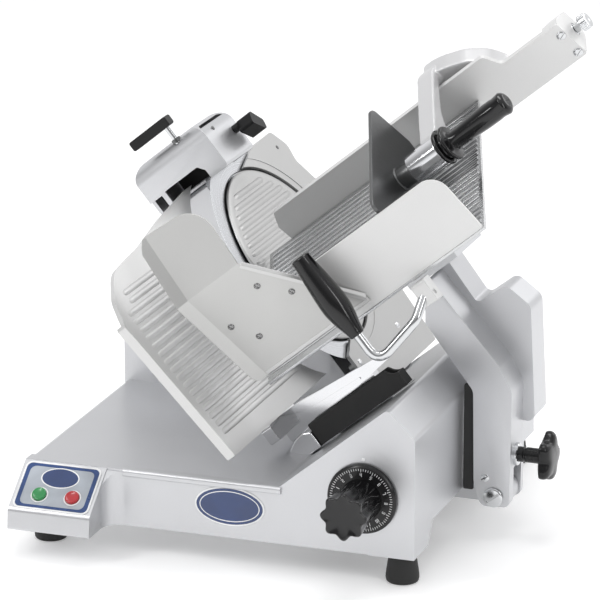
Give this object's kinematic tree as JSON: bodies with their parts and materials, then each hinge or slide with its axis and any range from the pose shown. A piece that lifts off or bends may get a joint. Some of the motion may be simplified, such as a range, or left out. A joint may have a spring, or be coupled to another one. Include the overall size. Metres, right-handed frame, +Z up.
{
  "type": "deli meat slicer",
  "caption": "Manual gravity-feed deli slicer with a slanted circular knife, sliding tilting chute, gauge plate, end weight and top sharpener.",
  "frame": {"origin": "centre of the bottom of the whole machine's box, on the counter", "axes": "+X to the operator's right, +Y away from the operator, +Z up"},
  "size_m": [0.6426, 0.693, 0.6669],
  "materials": {
    "cast_aluminium": "satin anodised",
    "polished_aluminium": "bright polished",
    "knife_steel": "circular brushed",
    "bright_steel": "bright",
    "dark_steel": "dark brushed",
    "black_plastic": "moulded",
    "gloss_black": "glossy",
    "rubber": "matte",
    "panel_blue": "printed overlay",
    "green_plastic": "button",
    "red_plastic": "button",
    "motor_paint": "satin",
    "stone": "abrasive stone"
  },
  "bodies": {
    "root": {"base_casting": "cast_aluminium", "bottom_cover": "knife_steel", "foot_front_left": "rubber", "foot_front_right": "rubber", "foot_rear_left": "rubber", "foot_rear_right": "rubber", "control_panel": "panel_blue", "switch_block": "black_plastic", "badge": "panel_blue", "power_inlet": "black_plastic", "slide_rail": "bright_steel", "guide_rail": "bright_steel", "rail_brackets": "cast_aluminium", "knife_housing": "cast_aluminium", "guard_plate": "cast_aluminium", "guard_plate_screws": "bright_steel", "knife_cover": "cast_aluminium", "knife_bearings": "bright_steel", "motor_body": "motor_paint", "gauge_rod": "bright_steel", "gauge_boot": "rubber", "sharpener_housing": "cast_aluminium"},
    "start": {"start_button": "green_plastic"},
    "stop": {"stop_button": "red_plastic"},
    "carriage": {"carriage_block": "cast_aluminium", "pivot_pin": "bright_steel"},
    "chute": {"chute_arm": "cast_aluminium", "chute_floor": "cast_aluminium", "chute_front_wall": "cast_aluminium", "thumb_guard": "cast_aluminium", "guard_screws": "bright_steel", "chute_fence": "cast_aluminium", "fence_screws": "bright_steel", "weight_rod": "bright_steel", "handle_rod": "polished_aluminium", "handle_grip": "gloss_black"},
    "lock": {"tilt_lock": "black_plastic"},
    "thumbscrew": {"fence_thumbscrew": "bright_steel"},
    "slide": {"weight_slide": "polished_aluminium"},
    "weight": {"weight_arm": "polished_aluminium", "weight_handle": "gloss_black", "pusher_plate": "dark_steel"},
    "knife": {"knife_blade": "knife_steel", "knife_screws": "bright_steel", "knife_hub": "bright_steel"},
    "motor": {"motor_shaft": "bright_steel"},
    "gauge": {"gauge_plate": "cast_aluminium", "gauge_bracket": "polished_aluminium", "gauge_carrier": "cast_aluminium"},
    "index": {"index_dial": "black_plastic", "index_knob": "gloss_black", "index_shaft": "bright_steel"},
    "tee": {"sharpener_tee": "black_plastic"},
    "stone": {"grinding_stone": "stone"},
    "lever": {"truing_lever": "black_plastic", "truing_stone": "stone"}
  },
  "joints": [
    {"name": "start_press", "type": "slide", "parent": "root", "child": "start", "axis": [0, 0.6041, -0.7969], "range_m": [0, 0.001], "stiffness_N_per_m": 2000, "springref_m": -0.0005},
    {"name": "stop_press", "type": "slide", "parent": "root", "child": "stop", "axis": [0, 0.6041, -0.7969], "range_m": [0, 0.001], "stiffness_N_per_m": 2000, "springref_m": -0.0005},
    {"name": "carriage_travel", "type": "slide", "parent": "root", "child": "carriage", "axis": [0, 1, 0], "range_m": [-0.11, 0.2]},
    {"name": "chute_tilt", "type": "hinge", "parent": "carriage", "child": "chute", "pos_m": [0.24566, -0.0325, 0.058], "axis": [0, 1, 0], "range_deg": [0, 45]},
    {"name": "tilt_lock_turn", "type": "hinge", "parent": "chute", "child": "lock", "pos_m": [0.29717, -0.0425, 0.112], "axis": [1, 0, 0], "range_deg": [-180, 180]},
    {"name": "thumbscrew_turn", "type": "hinge", "parent": "chute", "child": "thumbscrew", "pos_m": [0.30585, 0.09547, 0.65146], "axis": [0.7716, 0, 0.6361], "range_deg": [-180, 180]},
    {"name": "weight_travel", "type": "slide", "parent": "chute", "child": "slide", "axis": [0.7716, 0, 0.6361], "range_m": [-0.19, 0.06]},
    {"name": "weight_swing", "type": "hinge", "parent": "slide", "child": "weight", "pos_m": [0.14381, 0.09547, 0.51788], "axis": [0.7716, 0, 0.6361], "range_deg": [-120, 0]},
    {"name": "knife_spin", "type": "hinge", "parent": "root", "child": "knife", "pos_m": [-0.10888, 0.1435, 0.2836], "axis": [0.7716, 0, 0.6361], "continuous": true},
    {"name": "motor_spin", "type": "hinge", "parent": "root", "child": "motor", "pos_m": [-0.04547, 0.1955, 0.14537], "axis": [-0.6361, 0, 0.7716], "continuous": true},
    {"name": "index_turn", "type": "hinge", "parent": "root", "child": "index", "pos_m": [0.13517, -0.2675, 0.1116], "axis": [0, 1, 0], "range_deg": [0, 319.9]},
    {"name": "gauge_travel", "type": "slide", "parent": "root", "child": "gauge", "axis": [0.7716, 0, 0.6361], "range_m": [0, 0.033]},
    {"name": "tee_press", "type": "slide", "parent": "root", "child": "tee", "axis": [0.6361, 0, -0.7716], "range_m": [0, 0.01], "stiffness_N_per_m": 1500, "springref_m": -0.006},
    {"name": "stone_spin", "type": "hinge", "parent": "tee", "child": "stone", "pos_m": [-0.23581, 0.1095, 0.41872], "axis": [0.7716, 0, 0.6361], "continuous": true},
    {"name": "lever_turn", "type": "hinge", "parent": "root", "child": "lever", "pos_m": [-0.17898, 0.1345, 0.46298], "axis": [0.7716, 0, 0.6361], "range_deg": [0, 25]}
  ],
  "couplings": [
    {"joint": "motor_spin", "follows": "knife_spin", "ratio": 10},
    {"joint": "index_turn", "follows": "gauge_travel", "rad_per_m": 169.19}
  ]
}
